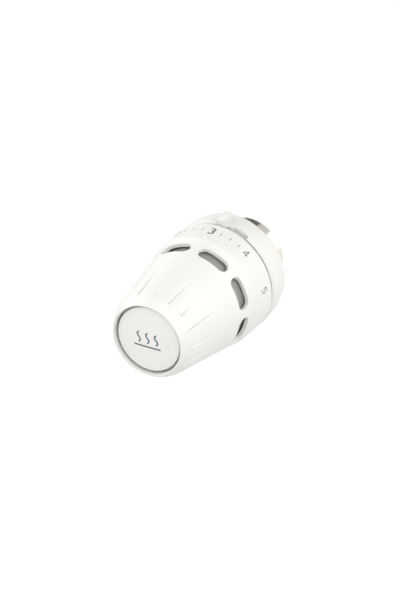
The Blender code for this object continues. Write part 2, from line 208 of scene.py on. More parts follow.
def make_piece(name, net, body, material, sharp=SHARP_ANGLE):
    """Turns a net into a smooth-shaded object that rides on a CAD body."""
    mesh = net_mesh(name, net)
    shade(mesh, sharp)
    mesh.materials.append(material)
    piece = bpy.data.objects.new(name, mesh)
    bpy.context.scene.collection.objects.link(piece)
    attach(piece, body)
    return piece


def rounded(corners):
    """An outline from (radius, y, fillet) corners.

    A corner with a fillet becomes an arc, with one more point on the straight at each side of it.
    """
    out = []
    count = len(corners)
    for i, (radius, y, fillet) in enumerate(corners):
        here = Vector((radius, y))
        before = Vector(corners[i - 1][:2]) - here
        after = Vector(corners[(i + 1) % count][:2]) - here
        if fillet <= 0.0:
            out.append((radius, y))
            continue
        half = before.angle(after) / 2
        reach = fillet / math.tan(half)
        centre = here + (before.normalized() + after.normalized()).normalized() * (fillet / math.sin(half))
        start = here + before.normalized() * reach
        end = here + after.normalized() * reach
        a0 = math.atan2(start.y - centre.y, start.x - centre.x)
        a1 = math.atan2(end.y - centre.y, end.x - centre.x)
        sweep = (a1 - a0 + math.pi) % math.tau - math.pi
        steps = max(3, round(abs(math.degrees(sweep)) / 12))
        hold = min(0.25 * fillet, 0.1)
        out.append(tuple(start + before.normalized() * hold))
        for s in range(steps + 1):
            a = a0 + sweep * s / steps
            out.append((centre.x + fillet * math.cos(a), centre.y + fillet * math.sin(a)))
        out.append(tuple(end + after.normalized() * hold))
    return out


def full_turn(steps):
    return [360.0 * i / steps for i in range(steps)]


def turned(outline):
    """A closed turned body. An outline that starts and ends on the axis is closed by fans."""
    net = Net()
    solid_core = outline[0][0] < 1e-6 and outline[-1][0] < 1e-6
    rows = net.rings(outline[1:-1] if solid_core else outline, full_turn(TURN_STEPS))
    net.skin(rows, closed=not solid_core)
    if solid_core:
        net.fan(rows[0], (0.0, outline[0][1], 0.0))
        net.fan(rows[-1], (0.0, outline[-1][1], 0.0))
    return net


def loft(sections, net=None):
    """A closed body through sections with the same number of points, flat at both ends."""
    net = net or Net()
    rows = [net.row(section) for section in sections]
    net.skin(rows)
    net.faces.append(tuple(rows[0]))
    net.faces.append(tuple(reversed(rows[-1])))
    return net


def smooth_step(value):
    """Eases from 0 to 1."""
    value = min(max(value, 0.0), 1.0)
    return value * value * (3 - 2 * value)


# ---------------------------------------------------------------- materials

def new_material(name, base, roughness, metallic=0.0):
    """A Principled material with its constants set on the shader's own sockets."""
    material = bpy.data.materials.new(name)
    material.use_nodes = True
    material.diffuse_color = (*base, 1.0)
    shader = material.node_tree.nodes["Principled BSDF"]
    shader.inputs["Base Color"].default_value = (*base, 1.0)
    shader.inputs["Roughness"].default_value = roughness
    shader.inputs["Metallic"].default_value = metallic
    return material, material.node_tree, shader


def add_noise(tree, scale, detail=3.0, stretch=(1.0, 1.0, 1.0)):
    """A 3-D noise in the piece's own space. The scale is in features per metre."""
    coordinates = tree.nodes.new("ShaderNodeTexCoord")
    mapping = tree.nodes.new("ShaderNodeMapping")
    mapping.inputs["Scale"].default_value = stretch
    noise = tree.nodes.new("ShaderNodeTexNoise")
    noise.inputs["Scale"].default_value = scale
    noise.inputs["Detail"].default_value = detail
    tree.links.new(coordinates.outputs["Object"], mapping.inputs["Vector"])
    tree.links.new(mapping.outputs["Vector"], noise.inputs["Vector"])
    return noise


def vary_colour(tree, shader, noise, dark, light):
    """Lets the noise move the colour between two tones."""
    ramp = tree.nodes.new("ShaderNodeValToRGB")
    ramp.color_ramp.elements[0].position = 0.3
    ramp.color_ramp.elements[1].position = 0.7
    ramp.color_ramp.elements[0].color = (*dark, 1.0)
    ramp.color_ramp.elements[1].color = (*light, 1.0)
    tree.links.new(noise.outputs["Fac"], ramp.inputs["Fac"])
    tree.links.new(ramp.outputs["Color"], shader.inputs["Base Color"])


def vary_roughness(tree, shader, noise, low, high):
    """Lets the noise move the gloss between two values."""
    spread = tree.nodes.new("ShaderNodeMapRange")
    spread.inputs["To Min"].default_value = low
    spread.inputs["To Max"].default_value = high
    tree.links.new(noise.outputs["Fac"], spread.inputs["Value"])
    tree.links.new(spread.outputs["Result"], shader.inputs["Roughness"])


def add_bump(tree, shader, noise, strength, height):
    """Lets the noise raise the surface. The height is in metres."""
    bump = tree.nodes.new("ShaderNodeBump")
    bump.inputs["Strength"].default_value = strength
    bump.inputs["Distance"].default_value = height
    tree.links.new(noise.outputs["Fac"], bump.inputs["Height"])
    tree.links.new(bump.outputs["Normal"], shader.inputs["Normal"])


def moulded_plastic(name, base, roughness, bump=0.05):
    """Moulded plastic: a fine eroded grain, slightly uneven gloss and a trace of colour variation."""
    material, tree, shader = new_material(name, base, roughness)
    dark = tuple(c * 0.975 for c in base)
    vary_colour(tree, shader, add_noise(tree, 60.0), dark, base)
    vary_roughness(tree, shader, add_noise(tree, 140.0), roughness - 0.05, roughness + 0.06)
    add_bump(tree, shader, add_noise(tree, 4500.0, detail=2.0), bump, 0.00003)
    shader.inputs["IOR"].default_value = 1.49
    return material


def turned_metal(name, base, roughness, bump=0.12):
    """Metal with fine turning marks round the Y axis."""
    material, tree, shader = new_material(name, base, roughness, metallic=1.0)
    dark = tuple(c * 0.9 for c in base)
    vary_colour(tree, shader, add_noise(tree, 90.0), dark, base)
    marks = add_noise(tree, 1600.0, detail=4.0, stretch=(0.03, 1.0, 0.03))
    vary_roughness(tree, shader, marks, roughness - 0.04, roughness + 0.08)
    add_bump(tree, shader, marks, bump, 0.00002)
    return material


WHITE = moulded_plastic("white_shell", (0.555, 0.55, 0.531), 0.36)
CAP = moulded_plastic("cap_plastic", (0.57, 0.564, 0.547), 0.40)
LIGHT_GREY = moulded_plastic("light_grey_plastic", (0.32, 0.32, 0.31), 0.5)
GREY = moulded_plastic("grey_plastic", (0.225, 0.225, 0.219), 0.5)
BLUE = moulded_plastic("blue_plastic", (0.08, 0.18, 0.45), 0.45)
RED = moulded_plastic("red_plastic", (0.50, 0.06, 0.05), 0.45)
INK = moulded_plastic("print_ink", (0.085, 0.10, 0.12), 0.55, bump=0.03)
NICKEL = turned_metal("nickel_plate", (0.87, 0.84, 0.78), 0.14, bump=0.05)
BRASS = turned_metal("brass", (0.75, 0.57, 0.30), 0.28)
COPPER = turned_metal("copper_alloy", (0.70, 0.44, 0.28), 0.32)
STEEL = turned_metal("steel", (0.60, 0.60, 0.60), 0.28)


# ---------------------------------------------------------------- handle

def cheek_start():
    """Where the nose of the lip meets the long round of the cheek, as (radius, y)."""
    radius = NOSE_RADIUS + NOSE_ROUND * math.cos(CHEEK_ANGLE)
    return radius, LIP_FRONT + NOSE_ROUND * (1 - math.sin(CHEEK_ANGLE))


def shell_radius(y):
    """Outer radius of the handle behind the lip's nose.

    It goes along the cheek and the cone, then over a soft kink to the level band.
    """
    start_radius, start_y = cheek_start()
    steepest = math.sin(CHEEK_ANGLE)
    cheek_end = start_y + CHEEK_ROUND * (steepest - math.sin(CONE_SLOPE))
    if y < cheek_end:
        angle = math.asin(min(steepest, steepest - (y - start_y) / CHEEK_ROUND))
        return start_radius + CHEEK_ROUND * (math.cos(angle) - math.cos(CHEEK_ANGLE))
    cone = CONE_REAR_RADIUS + (y - CONE_REAR) * math.tan(CONE_SLOPE)
    kink = smooth_step((y - CONE_REAR) / (BAND_FRONT - CONE_REAR))
    return cone * (1.0 - kink) + BAND_RADIUS * kink


def groove(angle, y):
    """Depth of the finger grooves: V-shaped, abrupt at the front and running out to the rear."""
    pitch = 360.0 / GROOVES
    index = round(angle / pitch)
    length = GROOVE_LONG if index % 2 else GROOVE_SHORT
    share = 1.0 - (y - GROOVE_FRONT) / length
    if not 0.0 < share <= 1.05:
        return 0.0
    across = abs(math.radians(angle - index * pitch)) * shell_radius(y)
    half_width = GROOVE_HALF_WIDTH * (0.45 + 0.55 * share)
    front = smooth_step((y - GROOVE_FRONT + 0.3) / 0.7)
    return GROOVE_DEPTH * share * front * max(0.0, 1.0 - across / half_width)


def outer_point(angle, y):
    return at(shell_radius(y) - groove(angle, y), y, angle)


def inner_point(angle, y):
    return at(shell_radius(y) - WALL, y, angle)


def lip_outline():
    """From the flange behind the cap, up the recess and round the lip's nose to the cheek."""
    round_length, bevel = 1.6, 0.2
    points = [(FLANGE_BORE, FLANGE_REAR), (FLANGE_BORE, FLANGE_FRONT)]
    points += [(RECESS_RADIUS - bevel, FLANGE_FRONT), (RECESS_RADIUS, FLANGE_FRONT - bevel)]
    points.append((RECESS_RADIUS, LIP_FRONT + round_length + 0.3))
    for a in np.radians(np.linspace(0.0, 90.0, 10)):
        radius = RECESS_RADIUS + (NOSE_RADIUS - RECESS_RADIUS) * (1 - math.cos(a))
        points.append((radius, LIP_FRONT + round_length * (1 - math.sin(a))))
    for a in np.linspace(math.pi / 2, CHEEK_ANGLE, 7)[1:]:
        points.append((NOSE_RADIUS + NOSE_ROUND * math.cos(a), LIP_FRONT + NOSE_ROUND * (1 - math.sin(a))))
    return points


def patch_rim():
    """The slot patch's outer rim as (angle offset, share of height) pairs, once round."""
    half = SECTOR / 2
    along = [-half + SECTOR * i / SECTOR_STEPS for i in range(SECTOR_STEPS + 1)]
    up = [i / PATCH_STEPS for i in range(1, PATCH_STEPS)]
    rim = [(a, 0.0) for a in along] + [(half, share) for share in up]
    return rim + [(a, 1.0) for a in reversed(along)] + [(-half, share) for share in reversed(up)]


def slot_loop(grow):
    """The slot's outline, widened by grow, as (angle offset, y), with a point for each point of the rim."""
    rim = patch_rim()
    height = SLOT_HALF_HEIGHT + grow
    degrees = math.degrees(1.0 / shell_radius(SLOT_MIDDLE))
    run = SLOT_HALF_SPAN - SLOT_HALF_HEIGHT * degrees
    loop = [None] * len(rim)
    right, left = [], []
    for i, (angle, share) in enumerate(rim):
        if abs(angle) <= run and share in (0.0, 1.0):
            loop[i] = (angle, SLOT_MIDDLE + (height if share else -height))
        elif angle > 0:
            right.append(i)
        else:
            left.append(i)
    half_way = len(rim) / 2
    left = [i for i in left if i > half_way] + [i for i in left if i <= half_way]
    for order, side, start in ((right, 1, -90.0), (left, -1, 90.0)):
        for n, i in enumerate(order):
            a = math.radians(start + 180.0 * (n + 1) / (len(order) + 1))
            y = SLOT_MIDDLE + height * math.sin(a)
            loop[i] = (side * run + height * degrees * math.cos(a), y)
    return loop


def slot_patches(net, front_row, rear_row, surface):
    """Fills the ring between two rows and leaves the slots open. Returns each slot's middle and edge."""
    heights = [PATCH_FRONT + (PATCH_REAR - PATCH_FRONT) * i / PATCH_STEPS for i in range(1, PATCH_STEPS)]
    columns = [net.row([surface(SECTOR * k, y) for y in heights]) for k in range(SECTORS)]
    rim, edge = patch_rim(), slot_loop(SLOT_EDGE)
    rings = 9
    slots = []
    for k in range(SECTORS):
        centre = SECTOR * (k + 0.5)
        along = [(k * SECTOR_STEPS + i) % len(front_row) for i in range(SECTOR_STEPS + 1)]
        previous = [front_row[i] for i in along] + columns[(k + 1) % SECTORS]
        previous += [rear_row[i] for i in reversed(along)] + list(reversed(columns[k]))
        for step in range(1, rings + 1):
            share = smooth_step(step / rings) * 0.35 + 0.65 * step / rings
            points = []
            for (rim_angle, height), (edge_angle, edge_y) in zip(rim, edge):
                rim_y = PATCH_FRONT + (PATCH_REAR - PATCH_FRONT) * height
                angle = rim_angle + (edge_angle - rim_angle) * share
                points.append(surface(centre + angle, rim_y + (edge_y - rim_y) * share))
            ring = net.row(points)
            net.bridge(previous, ring)
            previous = ring
        slots.append((centre, previous))
    return slots


def close_slots(net, outer_slots, inner_slots):
    """The slots' walls: a rounded outer edge and the straight wall."""
    turns = [math.radians(15.0 * step) for step in range(1, 7)]
    levels = [(slot_loop(SLOT_EDGE * (1 - math.sin(a))), SLOT_EDGE * (1 - math.cos(a))) for a in turns]
    levels += [(slot_loop(0.0), WALL * share) for share in (0.5, 0.9)]
    for (centre, outer), (_, inner) in zip(outer_slots, inner_slots):
        rings = []
        for loop, drop in levels:
            rings.append(net.row([at(shell_radius(y) - drop, y, centre + angle) for angle, y in loop]))
        net.skin([outer, *rings, inner])


def make_handle():
    """The turning shell: lip, grooved cone, slots and band outside, bore and snap bead inside."""
    net = Net()
    angles = full_turn(SECTORS * SECTOR_STEPS)

    def rows_on(surface, *stretches):
        return [net.row([surface(a, y) for a in angles]) for y in np.concatenate(stretches)]

    lip_rows = net.rings(lip_outline(), angles)
    cone_rows = rows_on(
        outer_point,
        np.linspace(cheek_start()[1] + 0.15, GROOVE_FRONT - 0.6, 12),
        np.linspace(GROOVE_FRONT - 0.4, GROOVE_FRONT + 1.0, 12),
        np.linspace(GROOVE_FRONT + 1.5, PATCH_FRONT, 56),
    )
    band_rows = rows_on(
        outer_point,
        np.linspace(PATCH_REAR, BAND_FRONT + 1.0, 14),
        np.linspace(BAND_FRONT + 3.0, BAND_REAR - 0.5, 5),
    )
    rear_edge = rounded([
        (BAND_RADIUS, BAND_REAR - 2.0, 0.0), (BAND_RADIUS, BAND_REAR, 0.2), (BORE, BAND_REAR, 0.15),
        (BORE, BAND_REAR - 2.8, 0.0),
    ])[1:-1]
    bead_rear, bead_front, bead = BAND_REAR - 3.0, BAND_REAR - 4.7, BORE - 0.7
    snap_bead = [(BORE, bead_rear), (bead + 0.1, bead_rear - 0.4), (bead, bead_rear - 0.6)]
    snap_bead += [(bead, bead_front + 0.4), (bead + 0.1, bead_front + 0.2), (BORE, bead_front)]
    bore = [(BORE, y) for y in np.linspace(bead_front - 0.6, BAND_FRONT, 4)]
    bore_rows = net.rings(rear_edge + snap_bead + bore, angles)
    inner_rear_rows = rows_on(inner_point, np.linspace(BAND_FRONT - 0.6, PATCH_REAR, 5))
    inner_front_rows = rows_on(inner_point, np.linspace(PATCH_FRONT, LIP_FRONT + 8.4, 10))
    web = [(17.2, FLANGE_REAR + 0.8), (17.1, FLANGE_REAR + 0.1), (16.9, FLANGE_REAR)]
    web_rows = net.rings(web, angles)
    net.skin(lip_rows + cone_rows)
    net.skin(band_rows + bore_rows + inner_rear_rows)
    net.skin(inner_front_rows + web_rows + lip_rows[:1])
    outer_slots = slot_patches(net, cone_rows[-1], band_rows[0], outer_point)
    inner_slots = slot_patches(net, inner_front_rows[0], inner_rear_rows[-1], inner_point)
    close_slots(net, outer_slots, inner_slots)
    handle = make_piece("handle_shell", net, "handle", WHITE)
    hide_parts("grip_shell")


def make_drive_ribs():
    """Eight ribs inside the handle that turn the setting sleeve, and the lug that meets the limit pins."""
    net = Net()
    foot_half, foot, tip_half, tip = 1.1, 20.3, 0.7, 19.9
    front, rear = -50.0, -30.0
    stations = [(front, shell_radius(front)), (CONE_REAR, CONE_REAR_RADIUS), (rear, BAND_RADIUS)]
    for k in range(SECTORS):
        turn = Matrix.Rotation(math.radians(SECTOR * k), 3, "Y")
        sections = []
        for y, radius in stations:
            root = radius - WALL / 2
            corners = [(-foot_half, foot), (-tip_half, tip), (tip_half, tip), (foot_half, foot)]
            corners += [(foot_half, root), (-foot_half, root)]
            sections.append([turn @ Vector((x, y, z)) for x, z in corners])
        loft(sections, net)
    lug = [(19.6, -31.0), (25.0, -31.0), (25.0, -28.7), (21.4, -28.7), (21.4, -19.2), (19.6, -19.2)]
    loft([[at(radius, y, 180.0 + a) for radius, y in lug] for a in (-4.0, -2.0, 0.0, 2.0, 4.0)], net)
    ribs = make_piece("handle_drive_ribs", net, "handle", WHITE)
    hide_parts("grip_shell")


def make_tactile_dot():
    """A low round bump on the band in line with the number 3."""
    middle, size, height, sunk = BAND_REAR - 11.4, 1.2, 0.42, 0.3
    net = Net()
    rows = []
    for share, lift in ((1.0, -0.3), (1.0, 0.0), (0.94, 0.35), (0.8, 0.66), (0.6, 0.86), (0.35, 0.96)):
        points = []
        for a in np.radians(full_turn(32)):
            x, y = size * share * math.cos(a), middle + size * share * math.sin(a)
            points.append((x, y, math.sqrt(shell_radius(y) ** 2 - x * x) + height * lift))
        rows.append(net.row(points))
    net.skin(rows)
    net.fan(rows[-1], (0.0, middle, shell_radius(middle) + height))
    net.fan(rows[0], (0.0, middle, shell_radius(middle) - sunk))
    make_piece("tactile_dot", net, "handle", WHITE)


def cap_surface(x, z):
    """The y of the cap's dome at a point of its face."""
    return cap_low.y + CAP_DOME * (x * x + z * z) / cap_high.x**2


def make_end_cap():
    """The round cap: a low dome with a rounded edge, and a skirt that clips into the handle."""
    front, edge = cap_low.y, cap_high.x
    flat = edge - CAP_EDGE
    rim_y = cap_surface(flat, 0.0)
    dome = [(0.0, front)] + [(r, cap_surface(r, 0.0)) for r in np.linspace(0.6, flat, 18)]
    for a in np.radians(np.linspace(12, 90, 8)):
        dome.append((flat + CAP_EDGE * math.sin(a), rim_y + CAP_EDGE * (1 - math.cos(a))))
    skirt = [(edge, front + 2.4), (edge - 0.2, front + 2.8), (13.7, front + 2.8), (13.7, front + 4.9)]
    skirt += [(14.5, front + 5.0), (14.6, front + 5.1), (13.7, front + 5.7), (12.7, front + 5.7)]
    skirt += [(12.7, front + 1.9), (12.5, front + 1.7), (0.0, front + 1.7)]
    cap = make_piece("front_cap", turned(dome + skirt), "handle", CAP)
    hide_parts("end_cap")


# ---------------------------------------------------------------- printing

def arc(x, z, radius, start, end):
    """Points on an arc in the plane of the lettering, from the start to the end angle in degrees."""
    turns = np.radians(np.linspace(start, end, 22))
    return [(x + radius * math.cos(a), z + radius * math.sin(a)) for a in turns]


def ribbon(net, path, width, place):
    """A thin flat stroke along (x, z) points. place(x, z, lift) puts its corners on a surface."""
    sections = []
    for i, (x, z) in enumerate(path):
        ahead = Vector(path[min(i + 1, len(path) - 1)])
        behind = Vector(path[max(i - 1, 0)])
        direction = (ahead - behind).normalized()
        side = Vector((-direction.y, direction.x)) * width / 2
        left, right = (x + side.x, z + side.y), (x - side.x, z - side.y)
        top = [place(*left, INK_THICKNESS), place(*right, INK_THICKNESS)]
        sections.append(top + [place(*right, -INK_THICKNESS), place(*left, -INK_THICKNESS)])
    loft(sections, net)


def make_cap_mark():
    """A generic heat symbol on the cap: three wavy lines over a bar."""
    net = Net()
    stroke, swing, wave_low, wave_length = 0.75, 0.75, -1.6, 5.0
    bar_z, bar_half = -3.2, 6.4

    def place(x, z, lift):
        return (x, cap_surface(x, z) - lift, z)

    for column in (-4.2, 0.0, 4.2):
        zs = np.linspace(wave_low, wave_low + wave_length, 25)
        wave = [(column + swing * math.sin(math.tau * (z - wave_low) / wave_length), z) for z in zs]
        ribbon(net, wave, stroke, place)
    ribbon(net, [(x, bar_z) for x in np.linspace(-bar_half, bar_half, 20)], stroke, place)
    make_piece("cap_mark", net, "handle", INK)


# Strokes of the numbers as (x, z) points, one unit high round the number's middle
NUMBER_STROKES = {
    1: [[(-0.20, 0.34), (0.05, 0.49)], [(0.05, 0.5), (0.05, -0.5)]],
    2: [arc(0.0, 0.23, 0.27, 170.0, -38.0) + [(-0.28, -0.46)], [(-0.31, -0.47), (0.33, -0.47)]],
    3: [arc(-0.03, 0.25, 0.25, 140.0, -85.0), arc(-0.03, -0.22, 0.28, 85.0, -140.0)],
    4: [[(0.14, -0.5), (0.14, 0.5)], [(0.14, 0.5), (-0.32, -0.22)], [(-0.36, -0.24), (0.36, -0.24)]],
    5: [[(0.28, 0.47), (-0.2, 0.47)], [(-0.2, 0.5), (-0.25, 0.04)], arc(-0.03, -0.18, 0.31, 132.0, -142.0)],
}
FROST_STROKES = [
    [(-0.5 * math.cos(a), -0.5 * math.sin(a)), (0.5 * math.cos(a), 0.5 * math.sin(a))]
    for a in np.radians([30.0, 90.0, 150.0])
]
MARK_STROKES = [[(0.0, -0.5), (0.0, 0.5)]]


def print_on_band(name, strokes, angle, height, width):
    """Prints strokes on the band. Their up is towards the collar."""
    net = Net()

    def place(x, z, lift):
        return at(BAND_RADIUS + lift, SCALE_Y + z, angle + math.degrees(x / BAND_RADIUS))

    for stroke in strokes:
        path = [(x * height, z * height) for x, z in stroke]
        if len(path) == 2:
            path = [tuple(Vector(path[0]).lerp(Vector(path[1]), step / 10)) for step in range(11)]
        ribbon(net, path, width, place)
    make_piece(name, net, "handle", INK)


def make_scale():
    """Numbers 1 to 5, a frost sign and the marks between 2 and 4."""
    for number, strokes in NUMBER_STROKES.items():
        height, width = (4.4, 0.8) if number == 3 else (3.7, 0.42)
        print_on_band(f"scale_number_{number}", strokes, (number - 3) * NUMBER_STEP, height, width)
    print_on_band("scale_frost_sign", FROST_STROKES, -3 * NUMBER_STEP, 3.6, 0.4)
    for k, angle in enumerate((-30.0, -20.0, -10.0, 10.0, 20.0, 30.0)):
        print_on_band(f"scale_mark_{k + 1}", MARK_STROKES, angle, 2.3, 0.27)


# ---------------------------------------------------------------- collar and nut

def window_depth(angle, y):
    """How far the stepped window beside the pointer is sunk at a point, from 0 to 1."""
    per_degree = COLLAR_RADIUS * math.radians(1.0)
    inside = -1.0
    for start, rear in ((WINDOW_START, WINDOW_SHALLOW), (WINDOW_STEP, WINDOW_DEEP)):
        sides = ((angle - start) * per_degree, (WINDOW_END - angle) * per_degree, rear - y)
        inside = max(inside, min(sides))
    return smooth_step(inside / 0.35 + 0.2)


def collar_point(angle, y):
    """The collar's outside, with its front bevel and the window."""
    bevel = max(0.0, 1.0 - (y - COLLAR_LIP) / COLLAR_BEVEL)
    radius = COLLAR_RADIUS - COLLAR_BEVEL_DEPTH * bevel
    depth = window_depth(angle, y)
    return at(radius * (1 - depth) + WINDOW_FLOOR * depth, y, angle)


def drill_limit_holes(piece, radius, front, rear):
    """Cuts the ring of holes in which the limit pins sit."""
    net = Net()
    turns = np.radians(full_turn(48))
    for angle in np.linspace(*LIMIT_HOLE_SPAN, LIMIT_HOLE_COUNT):
        x, _, z = at(LIMIT_HOLE_CIRCLE, 0.0, angle)
        circle = [(x + radius * math.cos(t), z + radius * math.sin(t)) for t in turns]
        loft([[(cx, y, cz) for cx, cz in circle] for y in (front, rear)], net)
    cutter = bpy.data.objects.new("hole_cutter", net_mesh("hole_cutter", net))
    bpy.context.scene.collection.objects.link(cutter)
    cut = piece.modifiers.new("holes", "BOOLEAN")
    cut.operation = "DIFFERENCE"
    cut.solver = "EXACT"
    cut.object = cutter
    drilled = bpy.data.meshes.new_from_object(piece.evaluated_get(bpy.context.evaluated_depsgraph_get()))
    bm = bmesh.new()
    bm.from_mesh(drilled)
    bmesh.ops.dissolve_degenerate(bm, dist=0.002 * MM, edges=bm.edges)
    bm.to_mesh(drilled)
    bm.free()
    piece.modifiers.clear()
    piece.data = drilled
    shade(drilled)
    bpy.data.objects.remove(cutter)


def make_collar():
    """The fixed collar: a bevelled front edge, the window, a long rear round and a plate with a bore."""
    net = Net()
    fine_start, fine_end, fine_step = WINDOW_START - 1.0, WINDOW_END + 1.0, 0.2
    angles = [
        *np.arange(fine_start, fine_end, fine_step),
        *np.linspace(fine_end, fine_start + 360.0, 330, endpoint=False),
    ]
    plate_front, plate_bore = COLLAR_REAR - 1.6, 16.8
    rear = rounded([
        (COLLAR_RADIUS, COLLAR_REAR - 9.9, 0.0),
        (COLLAR_RADIUS - 0.7, COLLAR_REAR - 3.4, 8.0),
        (24.4, COLLAR_REAR, 0.7),
        (plate_bore, COLLAR_REAR, 0.3),
        (plate_bore, plate_front, 0.2),
        (22.9, plate_front, 0.2),
        (24.0, COLLAR_REAR - 3.0, 0.3),
        (COLLAR_BORE, COLLAR_REAR - 6.5, 0.3),
        (COLLAR_BORE, COLLAR_LIP, 0.1),
        (COLLAR_BORE + 0.3, COLLAR_LIP, 0.0),
    ])
    depths = (0.0, 0.03, 0.1, *np.arange(0.2, WINDOW_DEEP - COLLAR_LIP + 0.6, 0.1))
    rows = [net.row([collar_point(a, COLLAR_LIP + depth) for a in angles]) for depth in depths]
    net.skin(rows + net.rings(rear, angles), closed=True)
    collar = make_piece("collar_shell", net, "base", WHITE)
    drill_limit_holes(collar, 2.15, COLLAR_REAR - 3.5, COLLAR_REAR + 1.0)
    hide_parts("base_collar")


def make_window_insert():
    """The grey floor of the window, in two steps like the window itself."""
    net = Net()
    low, high, bevel = WINDOW_FLOOR - 0.1, WINDOW_FLOOR + 0.25, 0.1
    front = COLLAR_LIP + 0.3
    steps = (
        (WINDOW_START + 0.6, WINDOW_STEP + 0.3, WINDOW_SHALLOW - 0.3),
        (WINDOW_STEP + 0.6, WINDOW_END - 0.6, WINDOW_DEEP - 0.3),
    )
    for start, end, rear in steps:
        section = [(low, front), (high - bevel, front), (high, front + bevel), (high, rear), (low, rear)]
        loft([[at(radius, y, a) for radius, y in section] for a in np.linspace(start, end, 24)], net)
    insert = make_piece("window_insert", net, "base", LIGHT_GREY)
    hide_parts("base_collar")


def make_pointer():
    """The raised block that the numbers are read against."""
    half, foot, top, fillet = POINTER_WIDTH / 2, COLLAR_RADIUS - 1.0, POINTER_TOP, 0.4
    front_round = [(0.0, 0.75), (0.12, 0.4), (0.4, 0.12), (0.8, 0.0)]
    rear_slope = [(1.6, 0.0), (0.9, 0.15), (0.35, 0.5), (0.0, 1.1)]
    stations = [(POINTER_FRONT + run, drop) for run, drop in front_round]
    stations += [(POINTER_REAR - run, drop) for run, drop in rear_slope]
    sections = []
    for y, drop in stations:
        side, height = half - 0.25 * drop, top - drop
        corners = [(side, foot, 0.0), (side, height, fillet), (-side, height, fillet), (-side, foot, 0.0)]
        sections.append([(x, y, z) for x, z in rounded(corners)])
    pointer = make_piece("pointer_block", loft(sections), "base", WHITE)
    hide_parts("base_collar")


def make_base():
    """The fixed base: a plate with the bush's boss, two walls inside the handle, a flange and the neck."""
    boss_bore, boss, boss_front = 4.6, 6.6, PLATE_FRONT - 2.3
    tube_bore, tube, tube_front = 18.0, 19.2, base_low.y
    wall_bore, wall, wall_front = 21.8, 22.8, base_low.y + 1.5
    clip_front, clip_rear, clip_floor = SEAT - 25.5, SEAT - 23.9, 22.3
    flange, flange_front = base_high.x, SEAT - 18.2
    ring_front, ring_rear, ring_floor = SEAT - 3.3, SEAT - 1.7, 10.9
    outline = rounded([
        (boss_bore, boss_front, 0.2), (boss, boss_front, 0.3), (boss, PLATE_FRONT, 0.3),
        (tube_bore, PLATE_FRONT, 0.3), (tube_bore, tube_front, 0.2), (tube, tube_front, 0.2),
        (tube, PLATE_FRONT, 0.3), (wall_bore, PLATE_FRONT, 0.3), (wall_bore, wall_front, 0.2),
        (wall, wall_front, 0.2), (wall, clip_front, 0.0), (clip_floor, clip_front, 0.0),
        (clip_floor, clip_rear, 0.0), (wall, clip_rear, 0.0), (wall, flange_front, 0.2),
        (flange, flange_front, 0.2), (flange, PLATE_REAR, 0.2), (NECK_RADIUS, PLATE_REAR, 0.4),
        (NECK_RADIUS, ring_front, 0.0), (ring_floor, ring_front, 0.0), (ring_floor, ring_rear, 0.0),
        (NECK_RADIUS, ring_rear, 0.0), (NECK_RADIUS, SEAT, 0.3), (NECK_BORE, SEAT, 0.3),
        (NECK_BORE, PLATE_REAR, 0.4), (boss_bore, PLATE_REAR, 0.2),
    ])
    base = make_piece("inner_base", turned(outline), "base", LIGHT_GREY)
    drill_limit_holes(base, 1.25, PLATE_FRONT - 1.0, PLATE_REAR + 1.0)
    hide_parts("base_body")


def threaded(radius, front, rear, depth):
    """Rows of a screw thread cut outwards from a bore. Its ridges climb by the pitch in each turn."""
    per_pitch, run_in, run_out = 8, 0.8, 0.4
    count = int((rear - front) / THREAD_PITCH * per_pitch)
    rows = []
    for y in np.linspace(front, rear, count + 1):
        fade = smooth_step((y - front) / run_in) * smooth_step((rear - y) / run_out)
        row = []
        for angle in full_turn(TURN_STEPS):
            phase = (y / THREAD_PITCH + angle / 360.0) % 1.0
            tooth = min(1.0, max(0.0, 1.15 * (1 - abs(2 * phase - 1)) - 0.06))
            row.append(at(radius + depth * tooth * fade, y, angle))
        rows.append(row)
    return rows


def make_nut():
    """The round union nut: a collar behind the neck's ring, the threaded bore and plain rounded edges."""
    front, rear, radius = nut_low.y, nut_high.y, nut_high.x
    thread_front, thread_rear, chamfer = -2.6, rear - 0.7, 0.7
    collar_bore, collar_rear = 12.2, -3.6
    outline = rounded([
        (THREAD_BORE, thread_front, 0.0), (THREAD_BORE, collar_rear, 0.0), (collar_bore, collar_rear, 0.25),
        (collar_bore, front, 0.25), (radius, front, 0.4), (radius, rear, 0.45),
        (THREAD_BORE + chamfer, rear, 0.15), (THREAD_BORE, thread_rear, 0.0),
    ])
    net = Net()
    rows = net.rings(outline, full_turn(TURN_STEPS))
    thread = threaded(THREAD_BORE, thread_front, thread_rear, THREAD_DEPTH)
    rows += [net.row(row) for row in reversed(thread[1:-1])]
    net.skin(rows, closed=True)
    nut = make_piece("plated_nut", net, "nut", NICKEL, sharp=50.0)
    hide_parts("union_nut")


# ---------------------------------------------------------------- inner pieces

